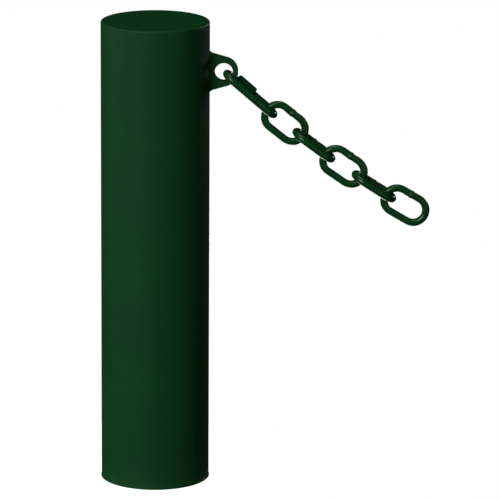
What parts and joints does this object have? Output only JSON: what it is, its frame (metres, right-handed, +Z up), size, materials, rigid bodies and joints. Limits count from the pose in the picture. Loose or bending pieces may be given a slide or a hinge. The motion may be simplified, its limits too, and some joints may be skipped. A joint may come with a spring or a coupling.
{
  "type": "retractable bollard",
  "caption": "Round steel post that slides down into a ground tube, with a welded lug, a screw-closed link and a length of chain.",
  "frame": {"origin": "on the post axis at the finished ground level, with the post raised", "axes": "+Z up along the post; +X along the chain; +Y towards the lock behind the post"},
  "size_m": [0.4251, 0.2737, 1.2578],
  "materials": {
    "green_paint": "satin moss green powder coat",
    "green_chain": "glossy moss green coating",
    "galvanised": "hot-dip galvanised",
    "stainless": "brushed stainless steel",
    "chromed_rod": "hard chrome, polished",
    "black_enamel": "satin black enamel",
    "black_rubber": "matt black rubber",
    "nylon": "cast nylon, dark grey",
    "bronze": "sintered bronze"
  },
  "bodies": {
    "casing": {"ground_tube": "galvanised", "base_plate": "galvanised", "anchor_bars": "galvanised", "drain_spigot": "galvanised", "drain_strainer": "stainless", "bottom_buffer": "black_rubber", "stop_ring": "galvanised", "guide_bush": "nylon", "wiper_seal": "black_rubber", "mouth_ring": "stainless", "mouth_ring_screws": "stainless", "ring_bosses": "galvanised", "gas_cylinder": "black_enamel", "gas_gland": "nylon", "gas_eye": "black_enamel", "gas_bracket": "galvanised", "gas_bracket_pin": "stainless", "lock_box": "galvanised", "spindle_bracket": "galvanised", "bolt_guide": "bronze", "cover_hinge_pin": "stainless"},
    "cover": {"lock_cover": "stainless"},
    "key": {"key_spindle": "stainless"},
    "bolt": {"lock_bolt": "stainless"},
    "post": {"post_tube": "green_paint", "top_cap": "green_paint", "chain_lug": "green_paint", "lug_weld": "green_paint", "lock_socket": "stainless", "guide_ring": "nylon", "guide_ring_screws": "stainless", "buffer_ring": "black_rubber", "spring_plate": "galvanised", "gas_rod": "chromed_rod", "gas_piston": "nylon", "rod_nuts": "stainless"},
    "hook": {"quick_link": "green_chain"},
    "nut": {"quick_link_nut": "green_chain"},
    "link_1": {"chain_link_1": "green_chain"},
    "link_2": {"chain_link_2": "green_chain"},
    "link_3": {"chain_link_3": "green_chain"},
    "link_4": {"chain_link_4": "green_chain"},
    "link_5": {"chain_link_5": "green_chain"}
  },
  "joints": [
    {"name": "post_slide", "type": "slide", "parent": "casing", "child": "post", "axis": [0, 0, 1], "range_m": [-0.495, 0], "stiffness_N_per_m": 110, "springref_m": 1.5},
    {"name": "cover_hinge", "type": "hinge", "parent": "casing", "child": "cover", "pos_m": [0, 0.13435, -0.004], "axis": [-1, 0, 0], "range_deg": [0, 100]},
    {"name": "key_turn", "type": "hinge", "parent": "casing", "child": "key", "pos_m": [0, 0.10585, -0.062], "axis": [0, 0, -1], "range_deg": [0, 90]},
    {"name": "bolt_slide", "type": "slide", "parent": "casing", "child": "bolt", "axis": [0, -1, 0], "range_m": [0, 0.014]},
    {"name": "hook_swing", "type": "hinge", "parent": "post", "child": "hook", "pos_m": [0.07482, 0, 0.43858], "axis": [0, 1, 0], "range_deg": [-60, 46]},
    {"name": "nut_travel", "type": "slide", "parent": "hook", "child": "nut", "axis": [0.7547, 0, -0.6561], "range_m": [0, 0.0125]},
    {"name": "link_1_swing", "type": "hinge", "parent": "hook", "child": "link_1", "pos_m": [0.12425, 0, 0.3956], "axis": [0, -1, 0], "range_deg": [-48, 75]},
    {"name": "link_2_swing", "type": "hinge", "parent": "link_1", "child": "link_2", "pos_m": [0.14791, 0, 0.37651], "axis": [0, 1, 0], "range_deg": [-75, 48]},
    {"name": "link_3_swing", "type": "hinge", "parent": "link_2", "child": "link_3", "pos_m": [0.18554, 0, 0.34836], "axis": [0, -1, 0], "range_deg": [-48, 75]},
    {"name": "link_4_swing", "type": "hinge", "parent": "link_3", "child": "link_4", "pos_m": [0.21054, 0, 0.33105], "axis": [0, 1, 0], "range_deg": [-75, 48]},
    {"name": "link_5_swing", "type": "hinge", "parent": "link_4", "child": "link_5", "pos_m": [0.25013, 0, 0.30573], "axis": [0, -1, 0], "range_deg": [-48, 75]}
  ],
  "couplings": [
    {"joint": "key_turn", "follows": "bolt_slide", "rad_per_m": 112.19}
  ]
}
